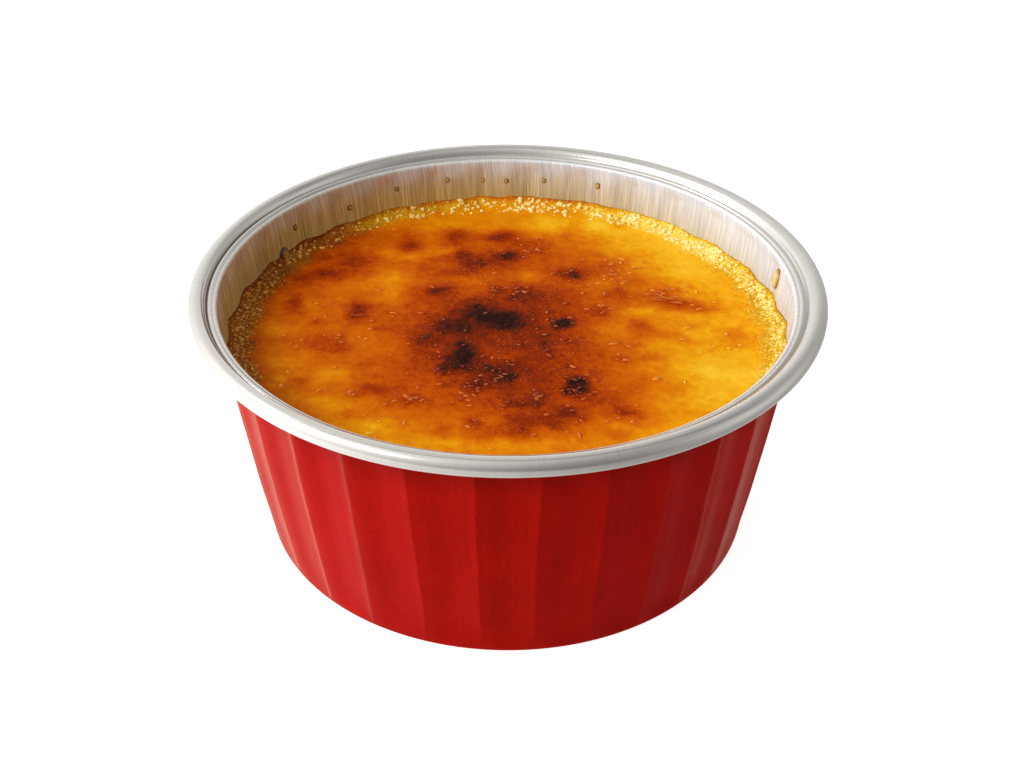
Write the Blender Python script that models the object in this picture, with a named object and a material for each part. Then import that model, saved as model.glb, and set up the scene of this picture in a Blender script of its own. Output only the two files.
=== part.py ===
"""Creme brulee in its own foil cup: a thin fluted aluminium cup with a rolled rim, red lacquer outside,
and the set custard that fills it to a little under the rim. Metres, +Z up, origin under the middle of
the cup on the surface it stands on."""

from math import cos, hypot, pi, radians, sin

import bmesh
import bpy

MM = 0.001

# Cup, in millimetres.
SHEET = 0.25  # thickness of the pressed sheet, lacquer included
BASE_R = 34.35  # where the wall's line meets the floor's
BASE_CORNER = 1.0  # radius of the bend between floor and wall, outside
WALL_TOP_Z = 33.0
WALL_TOP_R = 39.0  # over the ridges of the flutes
RIM_R = 42.5  # outside of the rolled bead
BEAD_R = 1.27  # radius of the bead's own section
BEAD_Z = 35.19  # height of the bead's centre
CREASE_R = 39.62  # the groove between the bead and the ledge
CREASE_Z = 35.42
LEDGE_TOP_Z = 35.52
LEDGE_R = 38.15  # inner edge of the ledge

# Flutes: narrow ridges with wide hollows between, deepest at the top of the wall.
FLUTES = 30
STEPS_PER_FLUTE = 5
RIDGE_AT = radians(9.6)  # azimuth of one ridge, from +X
RIDGE_NARROWING = 1.6
FLUTE_TOP = 0.50  # depth under the rim
FLUTE_BASE = 0.10  # depth at the floor

# Custard, in millimetres.
GAP = 0.30  # between custard and metal
LEVEL = 27.8  # height of the top in its middle
EDGE_RISE = 0.7  # how far the top climbs where it meets the wall
EDGE_WIDTH = 3.5  # how far in from the wall that climb reaches
TOP_RINGS = (1.0, 0.955, 0.9, 0.72, 0.5, 0.26)  # shares of the top's radius
WAVES = ((0.13, 2, 0.9, 0.4), (0.10, 3, 2.1, 1.7), (0.07, 5, 3.3, 2.9))  # height, lobes, rings, phase

STEPS = FLUTES * STEPS_PER_FLUTE
BEAD_CENTRE_R = RIM_R - BEAD_R


def clear_scene():
    for obj in list(bpy.data.objects):
        bpy.data.objects.remove(obj, do_unlink=True)


def arc(centre_r, centre_z, radius, start, end, steps):
    """Points of an arc in the (radius, height) plane, angles in degrees from straight out."""
    turns = (radians(start + (end - start) * i / steps) for i in range(steps + 1))
    return [(centre_r + radius * cos(a), centre_z + radius * sin(a)) for a in turns]


def ridge(azimuth):
    """1 on a flute's ridge, 0 in the hollow beside it."""
    return (0.5 + 0.5 * cos(FLUTES * (azimuth - RIDGE_AT))) ** RIDGE_NARROWING


def wall_radius(z):
    """Radius over the ridges, outside, at this height."""
    return BASE_R + (WALL_TOP_R - BASE_R) * z / WALL_TOP_Z


def flute_depth(z):
    share = min(max(z / WALL_TOP_Z, 0.0), 1.0)
    return FLUTE_BASE + (FLUTE_TOP - FLUTE_BASE) * share


def cup_section():
    """The sheet's section from the middle of the floor, up outside, over the rim and down inside. Each
    point is (radius, height, flute), where flute 1 lets the wall's flutes shape that ring."""
    corner = arc(BASE_R - 0.87 * BASE_CORNER, BASE_CORNER, BASE_CORNER, -90, -8, 2)
    bead = arc(BEAD_CENTRE_R, BEAD_Z, BEAD_R, -150, 130, 9)
    under_rim = [(LEDGE_R + 0.9, LEDGE_TOP_Z - 1.3), (CREASE_R + 0.25, CREASE_Z - 0.65)]
    over_ledge = [
        (CREASE_R, CREASE_Z),
        (CREASE_R - 0.3, LEDGE_TOP_Z),
        (LEDGE_R + 0.55, LEDGE_TOP_Z - 0.15),
        (LEDGE_R + 0.1, LEDGE_TOP_Z - 0.65),
        (LEDGE_R, LEDGE_TOP_Z - 1.4),
    ]
    corner_in = (BASE_R - BASE_CORNER - SHEET, SHEET)
    outside = [(0.0, 0.0, 0)] + [(r, z, 0) for r, z in corner]
    outside += [(wall_radius(WALL_TOP_Z), WALL_TOP_Z, 1)]
    rim = [(r, z, 0) for r, z in under_rim + bead + over_ledge]
    inside = [(wall_radius(z) - SHEET, z, 1) for z in (WALL_TOP_Z, BASE_CORNER)]
    return outside + rim + inside + [(*corner_in, 0), (0.0, SHEET, 0)]


def top_height(share, azimuth, radius):
    """Height of the custard's top at this share of its radius: low swells, and a climb at the wall."""
    swell = sum(h * sin(lobes * azimuth + phase) * sin(pi * rings * share) for h, lobes, rings, phase in WAVES)
    near_wall = max(0.0, 1.0 - (1.0 - share) * radius / EDGE_WIDTH)
    return LEVEL + swell * (1.0 - near_wall) + EDGE_RISE * near_wall**2


def custard_section():
    """Rings of the custard's side, inside the metal, as (radius, height, flute)."""
    inset = SHEET + GAP
    bottom = (BASE_R - BASE_CORNER - inset - 0.3, inset, 0)
    edge_z = LEVEL + EDGE_RISE
    return [(0.0, inset, 0), bottom] + [(wall_radius(z) - inset, z, 1) for z in (BASE_CORNER + 0.4, edge_z)]


def ring_point(r, z, flute, azimuth):
    if flute:
        r -= flute_depth(z) * (1.0 - ridge(azimuth))
    return (r * cos(azimuth) * MM, r * sin(azimuth) * MM, z * MM)


def turned_mesh(name, rings):
    """A closed mesh over rings of points. A ring of one point is a pole."""
    bm = bmesh.new()
    rows = [[bm.verts.new(point) for point in ring] for ring in rings]
    for low, high in zip(rows, rows[1:]):
        for i in range(STEPS):
            j = (i + 1) % STEPS
            if len(low) == 1:
                bm.faces.new((low[0], high[j], high[i]))
            elif len(high) == 1:
                bm.faces.new((low[i], low[j], high[0]))
            else:
                bm.faces.new((low[i], low[j], high[j], high[i]))
    bmesh.ops.triangulate(bm, faces=bm.faces)
    bmesh.ops.recalc_face_normals(bm, faces=bm.faces)
    mesh = bpy.data.meshes.new(name)
    bm.to_mesh(mesh)
    bm.free()
    mesh.shade_smooth()
    mesh.set_sharp_from_angle(angle=radians(40))
    return mesh


def rings_of(section):
    azimuths = [2 * pi * i / STEPS for i in range(STEPS)]
    return [
        [ring_point(r, z, flute, a) for a in (azimuths if r else azimuths[:1])]
        for r, z, flute in section
    ]


def material(name, colour, roughness, metallic):
    made = bpy.data.materials.new(name)
    made.use_nodes = True
    shader = made.node_tree.nodes["Principled BSDF"]
    shader.inputs["Base Color"].default_value = (*colour, 1.0)
    shader.inputs["Roughness"].default_value = roughness
    shader.inputs["Metallic"].default_value = metallic
    return made


def place(name, mesh, finish):
    mesh.materials.append(finish)
    obj = bpy.data.objects.new(name, mesh)
    bpy.context.scene.collection.objects.link(obj)
    return obj


def make_cup():
    finish = material("red_lacquer", (0.42, 0.012, 0.010), 0.38, 0.6)
    return place("cup", turned_mesh("cup", rings_of(cup_section())), finish)


def make_custard():
    section = custard_section()
    rings = rings_of(section)
    edge_ring = rings[-1]
    for share in TOP_RINGS[1:]:
        ring = []
        for i, (x, y, _) in enumerate(edge_ring):
            azimuth = 2 * pi * i / STEPS
            z = top_height(share, azimuth, hypot(x, y) / MM)
            ring.append((x * share, y * share, z * MM))
        rings.append(ring)
    rings.append([(0.0, 0.0, LEVEL * MM)])
    finish = material("caramelised_custard", (0.72, 0.22, 0.012), 0.25, 0.0)
    return place("custard", turned_mesh("custard", rings), finish)


clear_scene()
make_cup()
make_custard()
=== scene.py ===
"""The looks of a creme brulee set in its own foil cup: red-lacquered fluted aluminium with a bare rolled
rim, a browned and spot-burnt custard, the froth baked along the wall and the caramel drops above it."""

from math import cos, exp, pi, radians, sin, tau

import bpy
import numpy as np
from mathutils import Matrix, Vector, noise


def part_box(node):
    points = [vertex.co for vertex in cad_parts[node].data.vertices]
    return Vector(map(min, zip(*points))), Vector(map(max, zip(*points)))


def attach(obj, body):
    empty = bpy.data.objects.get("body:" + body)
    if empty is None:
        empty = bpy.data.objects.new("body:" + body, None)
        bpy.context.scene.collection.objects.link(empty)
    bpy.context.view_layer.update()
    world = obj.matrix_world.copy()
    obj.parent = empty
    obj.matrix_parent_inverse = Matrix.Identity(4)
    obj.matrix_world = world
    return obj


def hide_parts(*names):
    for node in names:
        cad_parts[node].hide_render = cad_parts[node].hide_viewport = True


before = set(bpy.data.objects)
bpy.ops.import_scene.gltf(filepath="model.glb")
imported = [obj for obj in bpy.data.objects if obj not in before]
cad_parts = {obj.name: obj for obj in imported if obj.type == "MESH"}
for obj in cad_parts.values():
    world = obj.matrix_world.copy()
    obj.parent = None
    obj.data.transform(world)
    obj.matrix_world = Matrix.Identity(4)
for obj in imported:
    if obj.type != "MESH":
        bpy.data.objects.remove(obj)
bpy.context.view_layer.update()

MM = 0.001
CUP_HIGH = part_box("cup")[1] / MM

# The cup's section, in millimetres, from the frame's box and a few sizes of its own.
RIM_R = min(CUP_HIGH.x, CUP_HIGH.y)
RIM_TOP = CUP_HIGH.z
SHEET = 0.25
BASE_R = 34.35
BASE_CORNER = 1.0  # radius of the bend between floor and wall
CORNER_INSET = 0.87  # how far in from BASE_R that bend's centre lies
WALL_TOP_Z = 33.0
WALL_TOP_R = 39.0
BEAD_R = 1.27
BEAD_Z = RIM_TOP - BEAD_R
BEAD_CENTRE_R = RIM_R - BEAD_R
CREASE_R = 39.80  # the groove between the bead and the ledge inside it
LEDGE_Z = 35.46  # the ledge's top by the groove, from where it slopes down to the shoulder
SHOULDER_Z = 35.18
SHOULDER_R = 0.50
LEDGE_SLIP = Vector((-0.22, -0.08))  # the ledge sits a little off the bead's centre
LEDGE_TILT = 0.16  # and lower in front
LEAST_SHEET = 0.19  # what is left of the sheet where a dent meets a hollow

# Flutes: narrow ridges with wide hollows between them, deepest under the rim.
FLUTES = 30
RIDGE_AT = radians(11.7)
RIDGE_WIDTH = 0.022  # half-width of the fold along each ridge, as a share of a flute
RIB = 0.04  # how far that fold stands out, as a share of the flutes' depth
FLUTE_TOP = 0.55
FLUTE_BASE = 0.10
STEPS_PER_FLUTE = 16
STEPS = FLUTES * STEPS_PER_FLUTE

# The custard, in millimetres.
LEVEL = 27.8
TOP_RINGS = 170
POINTS_PER_RING = 6  # ring k of the top has this many times k points, so that they lie evenly
INTO_WALL = 0.08  # how far the custard reaches into the metal
HALVING = 0.693  # exp of minus this is a half


# -------------------------------- small helpers

def srgb(red, green, blue):
    """A colour as it shows on a screen, 0 to 255, as the linear numbers that a shader takes."""
    def linear(value):
        value /= 255
        return value / 12.92 if value <= 0.04045 else ((value + 0.055) / 1.055) ** 2.4
    return (linear(red), linear(green), linear(blue), 1.0)


def smooth(low, high, value):
    share = np.clip((value - low) / (high - low), 0.0, 1.0)
    return share * share * (3.0 - 2.0 * share)


def cloud(points, size, octaves=3, seed=0.0):
    """Smooth noise, about -1 to 1, at points in millimetres, with lumps of about this size."""
    shift = Vector((seed * 17.3, seed * -9.1, seed * 5.7))
    return np.array([noise.fractal(Vector(p) / size + shift, 0.8, 2.0, octaves) for p in points])


def flat_points(x, y):
    return np.stack([x, y, np.zeros_like(x)], axis=1)


def make_mesh(name, points, faces):
    """A mesh object from points in millimetres."""
    mesh = bpy.data.meshes.new(name)
    mesh.from_pydata((np.asarray(points, float) * MM).tolist(), [], faces)
    mesh.validate()
    mesh.shade_smooth()
    obj = bpy.data.objects.new(name, mesh)
    bpy.context.scene.collection.objects.link(obj)
    return obj


def point_values(obj, name, values):
    """Stores one number a point for the shader."""
    attribute = obj.data.attributes.new(name, "FLOAT", "POINT")
    attribute.data.foreach_set("value", np.asarray(values, np.float32))


def point_vectors(obj, name, vectors):
    attribute = obj.data.attributes.new(name, "FLOAT_VECTOR", "POINT")
    attribute.data.foreach_set("vector", np.asarray(vectors, np.float32).ravel())


def ride_root(obj, slot, *replaced):
    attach(obj, "root")
    if replaced:
        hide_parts(*replaced)
    return obj


# -------------------------------- shader helpers

def feed(tree, target, value):
    """Sets a socket to a number, or links another socket to it."""
    if isinstance(value, (int, float)):
        target.default_value = value
    else:
        tree.links.new(value, target)


def math_node(tree, operation, *values):
    made = tree.nodes.new("ShaderNodeMath")
    made.operation = operation
    for target, value in zip(made.inputs, values):
        feed(tree, target, value)
    return made.outputs[0]


class Shader:
    """A material with one Principled node, and short ways to add nodes in front of it."""

    def __init__(self, name, **values):
        self.material = bpy.data.materials.new(name)
        self.material.use_nodes = True
        self.tree = self.material.node_tree
        self.surface = self.tree.nodes["Principled BSDF"]
        for key, value in values.items():
            self.surface.inputs[key.replace("_", " ")].default_value = value

    def node(self, kind, **settings):
        made = self.tree.nodes.new(kind)
        for key, value in settings.items():
            setattr(made, key, value)
        return made

    def link(self, source, target):
        self.tree.links.new(source, target)

    def add(self, total, *others):
        for other in others:
            total = math_node(self.tree, "ADD", total, other)
        return total

    def times(self, first, second):
        return math_node(self.tree, "MULTIPLY", first, second)

    def browned(self, fine, amount):
        """How browned the piece is, give or take this much with the fine noise."""
        return self.add(self.attribute("browning"), self.spread(fine, 0.3, 0.7, -amount, amount))

    def attribute(self, name, output="Fac"):
        return self.node("ShaderNodeAttribute", attribute_name=name).outputs[output]

    def place(self):
        return self.node("ShaderNodeTexCoord").outputs["Object"]

    def scaled(self, vector, scale):
        made = self.node("ShaderNodeMapping")
        made.inputs["Scale"].default_value = scale
        self.link(vector, made.inputs["Vector"])
        return made.outputs[0]

    def noise(self, vector, scale, detail=3.0, roughness=0.5):
        made = self.node("ShaderNodeTexNoise")
        self.link(vector, made.inputs["Vector"])
        for key, value in (("Scale", scale), ("Detail", detail), ("Roughness", roughness)):
            made.inputs[key].default_value = value
        return made.outputs["Fac"]

    def cells(self, vector, scale):
        """Distance from the middle of the nearest of many cells, 0 to about 0.8."""
        made = self.node("ShaderNodeTexVoronoi")
        self.link(vector, made.inputs["Vector"])
        made.inputs["Scale"].default_value = scale
        return made.outputs["Distance"]

    def spread(self, value, low, high, to_low=0.0, to_high=1.0):
        made = self.node("ShaderNodeMapRange")
        feed(self.tree, made.inputs[0], value)
        for target, number in zip(made.inputs[1:5], (low, high, to_low, to_high)):
            target.default_value = number
        return made.outputs[0]

    def ramp(self, value, *stops):
        """Stops are (place, red, green, blue), with the colour as it shows on a screen."""
        made = self.node("ShaderNodeValToRGB")
        bands = made.color_ramp.elements
        while len(bands) < len(stops):
            bands.new(0.5)
        for band, (place, *colour) in zip(bands, stops):
            band.position = place
            band.color = srgb(*colour)
        feed(self.tree, made.inputs[0], value)
        return made.outputs["Color"]

    def mix(self, share, first, second):
        """The first colour where the share is 0 and the second where it is 1."""
        made = self.node("ShaderNodeMix", data_type="RGBA")
        feed(self.tree, made.inputs["Factor"], share)
        for key, value in (("A", first), ("B", second)):
            target = [s for s in made.inputs if s.name == key and s.type == "RGBA"][0]
            if isinstance(value, tuple):
                target.default_value = value
            else:
                self.link(value, target)
        return [s for s in made.outputs if s.type == "RGBA"][0]

    def bump(self, height, depth):
        made = self.node("ShaderNodeBump")
        made.inputs["Strength"].default_value = 1.0
        made.inputs["Distance"].default_value = depth
        self.link(height, made.inputs["Height"])
        return made.outputs[0]

    def set(self, **links):
        """Links outputs to the shader's sockets and gives back the material."""
        for key, value in links.items():
            self.link(value, self.surface.inputs[key.replace("_", " ")])
        return self.material


# -------------------------------- the cup

def arc(centre_r, centre_z, radius, start, end, steps):
    turns = np.radians(np.linspace(start, end, steps + 1))
    return [(centre_r + radius * cos(a), centre_z + radius * sin(a)) for a in turns]


def ridge_turn(azimuth):
    """Where an azimuth lies along the row of flutes: whole numbers on the ridges, which are a little
    uneven."""
    uneven = 0.035 * np.sin(3 * azimuth + 1.0) + 0.03 * np.sin(7 * azimuth + 0.4)
    uneven = uneven - 0.15 * np.exp(40.0 * (np.cos(azimuth + 1.745) - 1.0))
    return (azimuth - RIDGE_AT) / (tau / FLUTES) + uneven


# The flutes' shape from one ridge to the next: a soft roll down from the ridge, a long rise, and a
# rounded fold up to the next ridge.
ALONG = np.linspace(0.0, 1.0, 401)
RISE = 0.45 * smooth(0.40, 0.66, ALONG) + 0.15 * smooth(0.6, 0.9, ALONG)
RISE = RISE + 0.8 * np.exp(-(((ALONG - 0.94) / 0.05) ** 2))
RISE = RISE * (1.0 - 0.9 * smooth(0.95, 1.0, ALONG))
DROP = np.exp(-(((ALONG - 0.30) / 0.2) ** 2)) + 0.6 * np.exp(-(((ALONG - 0.05) / 0.04) ** 2))
HOLLOW = np.cumsum(DROP * RISE.sum() / DROP.sum() - RISE)
HOLLOW = HOLLOW / HOLLOW.max()


def ridge_fall(azimuth, rib=0.0):
    """How far below its ridges the wall is, as a share of the flutes' depth."""
    turn = ridge_turn(azimuth)
    away = turn - np.round(turn)
    return np.interp(turn - np.floor(turn), ALONG, HOLLOW) - rib * np.exp(-((away / RIDGE_WIDTH) ** 2))


def wall_radius(z):
    """Radius over the ridges, outside. The wall bulges a little."""
    share = np.clip(z / WALL_TOP_Z, 0.0, 1.0)
    return BASE_R + (WALL_TOP_R - BASE_R) * z / WALL_TOP_Z + 0.25 * np.sin(pi * share)


def flute_depth(z):
    """Most of the depth comes in just over the floor, the rest evenly up to the rim."""
    low = smooth(0.0, 5.0, np.asarray(z, float))
    even = np.clip(z / WALL_TOP_Z, 0.0, 1.0)
    return FLUTE_BASE + (FLUTE_TOP - FLUTE_BASE) * (2 * low + even) / 3


def metal_radius(azimuth, z):
    """Inside radius of the cup's wall."""
    return wall_radius(z) - SHEET - flute_depth(z) * ridge_fall(azimuth)


def cup_section():
    """Points (radius, height, flute, slip, part) from the floor's middle, up outside and down inside.
    Flute is how much the flutes shape a point, slip how much of the ledge's offset it takes, and part
    is 0 for lacquer, 1 for the bare rim and 2 for the dull inside, with steps between them."""
    wall_foot = BASE_CORNER * (1 + sin(radians(-8)))
    outside = [(r, 0.0, 0, 0, 0) for r in (0.0, 10.0, 20.0, 28.0, 32.0)]
    outside += [(r, z, 0, 0, 0) for r, z in arc(BASE_R - CORNER_INSET, BASE_CORNER, BASE_CORNER, -90, -8, 8)]
    for z in np.linspace(wall_foot + 1.0, WALL_TOP_Z - 1.2, 14):
        outside.append((wall_radius(z), z, 1, 0, 0))
    for share in (0.25, 0.5, 0.75, 1.0):
        z = WALL_TOP_Z - 1.2 + 1.6 * share
        outside.append((wall_radius(z) - 0.1 * share, z, 1 - share, 0, 0))
    rim = [(WALL_TOP_R + 0.55, WALL_TOP_Z + 0.95, 0, 0, 1)]
    rim += [(WALL_TOP_R + 0.95, WALL_TOP_Z + 1.35, 0, 0.5, 1)]
    rim += [(r, z, 0, 0, 1) for r, z in arc(BEAD_CENTRE_R, BEAD_Z, BEAD_R, -145, 118, 34)]
    rim += [(r, z, 0, 0.6, 1) for r, z in arc(BEAD_CENTRE_R - 0.02, BEAD_Z, BEAD_R - 0.01, 126, 164, 5)]
    rim += [(CREASE_R + 0.08, LEDGE_Z - 0.16, 0, 1, 1), (CREASE_R, LEDGE_Z - 0.22, 0, 1, 1)]
    rim += [(CREASE_R - 0.08, LEDGE_Z - 0.14, 0, 1, 1), (CREASE_R - 0.2, LEDGE_Z - 0.02, 0, 1, 1)]
    rim += [(CREASE_R - 0.36, LEDGE_Z, 0, 1, 1), (CREASE_R - 0.7, LEDGE_Z - 0.06, 0, 1, 1)]
    shoulder_r = wall_radius(SHOULDER_Z - SHOULDER_R) - SHEET - FLUTE_TOP + SHOULDER_R - 0.02
    shoulder = arc(shoulder_r, SHOULDER_Z - SHOULDER_R, SHOULDER_R, 72, 172, 10)
    rim += [(r, z, 0, 1, 1 + min(k / 9, 1)) for k, (r, z) in enumerate(shoulder)]
    inside = []
    for share in np.linspace(0.25, 1.0, 4):
        z = SHOULDER_Z - SHOULDER_R - 0.2 - 1.4 * share
        inside.append((wall_radius(z) - SHEET - FLUTE_TOP * (1 - share), z, share, 1 - share, 2))
    for z in (*np.linspace(32.2, 24.0, 10), 16.0, 8.0, BASE_CORNER + 0.4):
        inside.append((wall_radius(z) - SHEET, z, 1, 0, 2))
    inside += [(BASE_R - BASE_CORNER - SHEET, SHEET, 0, 0, 2), (20.0, SHEET, 0, 0, 2), (0.0, SHEET, 0, 0, 2)]
    return outside + rim + inside


def cup_azimuths():
    """Azimuths of the cup's points: close together on each ridge and wider apart in the hollows."""
    step = np.arange(-STEPS_PER_FLUTE // 2, STEPS_PER_FLUTE // 2) / (STEPS_PER_FLUTE / 2)
    local = 0.5 * np.sign(step) * step**2
    turn = (np.arange(FLUTES)[:, None] + local[None, :]).ravel()
    azimuth = RIDGE_AT + turn * tau / FLUTES
    for _ in range(12):
        azimuth = azimuth - (ridge_turn(azimuth) - turn) * tau / FLUTES
    return azimuth


def make_cup():
    section = cup_section()
    azimuth = cup_azimuths()
    unit = np.stack([np.cos(azimuth), np.sin(azimuth)], axis=1)
    dent = 0.05 * np.sin(2 * azimuth + 0.6) + 0.04 * np.sin(5 * azimuth + 2.0)
    points, around, inside, crease_shade, film, shade, painted_sheen = [], [], [], [], [], [], []
    faces, parts, starts = [], [], []
    for r, z, flute, slip, part in section:
        starts.append(len(points))
        count = STEPS if r else 1
        inside += [max(part - 1.0, 0.0)] * count
        # painted shade in the groove between the bead and the ledge, strongest on the left
        shade_by_side = 0.25 + 0.75 * smooth(0.1, 0.8, -np.cos(azimuth - 0.25))
        groove = exp(-(((r - CREASE_R) / 0.15) ** 2)) * (part == 1 and z > WALL_TOP_Z + 2.0)
        crease_shade += list(shade_by_side * groove if r else np.zeros(1))
        film += list(syrup_film_and_shade(azimuth, z) if part > 1 and r else np.zeros(count))
        shade += [float(smooth(27.0, 34.0, z))] * count
        # painted highlight along the ridges outside
        painted_sheen += list(ridge_highlight_lines(azimuth) * flute if part == 0 and r else np.zeros(count))
        if r == 0.0:
            points.append((0.0, 0.0, z))
            around.append((0.0, 0.0, z))
            continue
        if part == 0:  # outside, the folds wander a little from side to side, and in and out
            at = np.column_stack([WALL_TOP_R * unit, np.full(STEPS, z)])
            turned = azimuth + 0.005 * flute * cloud(at, 11.0, 2, 31.0)
            way = np.stack([np.cos(turned), np.sin(turned)], axis=1)
            fall = ridge_fall(azimuth, RIB) - 0.10 * cloud(at, 6.0, 2, 32.0)
        else:
            way, fall = unit, ridge_fall(azimuth)
        radius = r - flute * flute_depth(z) * fall + 0.6 * flute * dent
        if part == 0 and flute:
            radius = np.maximum(radius, metal_radius(azimuth, z) + LEAST_SHEET)
        ring = way * radius[:, None] + np.array(LEDGE_SLIP) * slip
        tilt = LEDGE_TILT * slip * np.minimum(unit[:, 1], 0.0)
        points += [(x, y, z + dip) for (x, y), dip in zip(ring, tilt)]
        around += [(x, y, z) for x, y in unit]
    for row in range(len(section) - 1):
        low, high = starts[row], starts[row + 1]
        part = int(min(section[row][4], section[row + 1][4]) > 0)
        for i in range(STEPS):
            j = (i + 1) % STEPS
            if section[row][0] == 0.0:
                faces.append((low, high + j, high + i))
            elif section[row + 1][0] == 0.0:
                faces.append((low + i, low + j, high))
            else:
                faces.append((low + i, low + j, high + j, high + i))
            parts.append(part)
    cup = make_mesh("cup_shell", points, faces)
    cup.data.materials.append(red_lacquer())
    cup.data.materials.append(bare_aluminium())
    cup.data.polygons.foreach_set("material_index", np.array(parts, np.int32))
    point_vectors(cup, "around", around)
    shown = {"inside": inside, "crease_shade": crease_shade, "film": film, "shade": shade, "painted_sheen": painted_sheen}
    for key, values in shown.items():
        point_values(cup, key, values)
    return ride_root(cup, "red_lacquer", "cup")


def ridge_highlight_lines(azimuth):
    """Painted highlight along the ridges, where light catches their crests: thin pale lines, most of
    all on the left and right.
    """
    turn = ridge_turn(azimuth)
    away = turn - np.round(turn)
    line = 0.85 * np.exp(-((away / RIDGE_WIDTH) ** 2)) + 0.15 * np.exp(-((away / 0.07) ** 2))
    side = np.abs(np.cos(azimuth - 0.08))
    return line * smooth(0.35, 0.9, side) * (0.75 - 0.25 * np.cos(azimuth))


def syrup_film_and_shade(azimuth, z):
    """How brown the inside wall is, partly a film of dried syrup and partly painted shade: strong on the
    left and behind, where the wall lies in shade, hardly there on the right, and less with height."""
    left = 0.5 - 0.5 * np.cos(azimuth)
    height = np.clip((36.5 - z) / 9.0, 0.0, 1.0)
    back = np.maximum(np.sin(azimuth), 0.0) ** 2
    film = left**1.6 * (0.6 + 0.7 * height) + 0.6 * height**2 * (1.0 - left)
    return np.clip(film + 0.34 * back * smooth(0.3, 0.5, height), 0.0, 1.0)


def red_lacquer():
    """Transparent red over bright foil, with the fine pebbly grain of a coated sheet, painted highlights
    along the ridges and painted shade just under the rim.
    """
    tint = (1.0, 0.44, 0.34, 1.0)
    look = Shader("red_lacquer", Metallic=0.7, Specular_IOR_Level=0.2, Specular_Tint=tint)
    around = look.attribute("around", "Vector")
    streaks = look.noise(look.scaled(around, (1.0, 1.0, 0.004)), 55.0, 4.0)
    grain = look.noise(look.place(), 2300.0, 1.0, 0.5)
    patches = look.noise(look.place(), 120.0, 3.0)
    tone = look.add(look.times(streaks, 0.3), look.times(patches, 0.4), look.times(grain, 0.3))
    colour = look.ramp(tone, (0.3, 152, 9, 3), (0.5, 165, 12, 4), (0.7, 180, 16, 6))
    colour = look.mix(look.spread(look.attribute("shade"), 0.0, 1.0, 0.0, 0.75), colour, srgb(104, 6, 2))
    # painted highlight: pale pink lines along the ridges
    sheen_share = look.times(look.attribute("painted_sheen"), look.spread(streaks, 0.3, 0.6, 0.5, 0.8))
    colour = look.mix(sheen_share, colour, srgb(212, 124, 114))
    rough = look.spread(look.add(grain, streaks), 0.6, 1.4, 0.26, 0.36)
    height = look.add(grain, look.times(streaks, 0.5))
    return look.set(Base_Color=colour, Roughness=rough, Normal=look.bump(height, 0.000016))


def bare_aluminium():
    """Drawn aluminium sheet: bright on the rolled rim, dull inside, with fine lines running up the wall,
    a brown film of dried syrup that also carries painted shade on the left and behind, and painted
    shade in the groove by the bead."""
    look = Shader("bare_aluminium")
    around = look.attribute("around", "Vector")
    inside = look.attribute("inside")
    lines = look.noise(look.scaled(around, (1.0, 1.0, 0.0008)), 170.0, 4.0, 0.6)
    broad = look.noise(look.scaled(around, (1.0, 1.0, 0.003)), 24.0, 3.0)
    grain = look.noise(look.place(), 1500.0, 2.0)
    tone = look.add(look.times(lines, 0.75), look.times(broad, 0.25))
    bright = look.ramp(tone, (0.25, 233, 228, 221), (0.75, 243, 239, 232))
    dull = look.ramp(tone, (0.36, 191, 202, 214), (0.5, 207, 217, 230), (0.64, 223, 233, 246))
    brown = look.ramp(tone, (0.36, 156, 134, 74), (0.5, 192, 168, 100), (0.64, 222, 200, 130))
    # the film share browns the wall: dried syrup, and painted shade on the left and behind
    colour = look.mix(look.attribute("film"), dull, brown)
    colour = look.mix(look.spread(inside, 0.4, 1.0), bright, colour)
    # painted shade in that groove
    colour = look.mix(look.attribute("crease_shade"), colour, srgb(80, 74, 70))
    rough = look.add(look.spread(inside, 0, 1, 0.2, 0.45), look.spread(grain, 0.3, 0.7, -0.03, 0.03))
    height = look.times(lines, inside)
    metal = look.spread(inside, 0, 1, 1.0, 0.2)
    return look.set(Base_Color=colour, Roughness=rough, Metallic=metal, Normal=look.bump(height, 0.00005))


# -------------------------------- the custard

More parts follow.
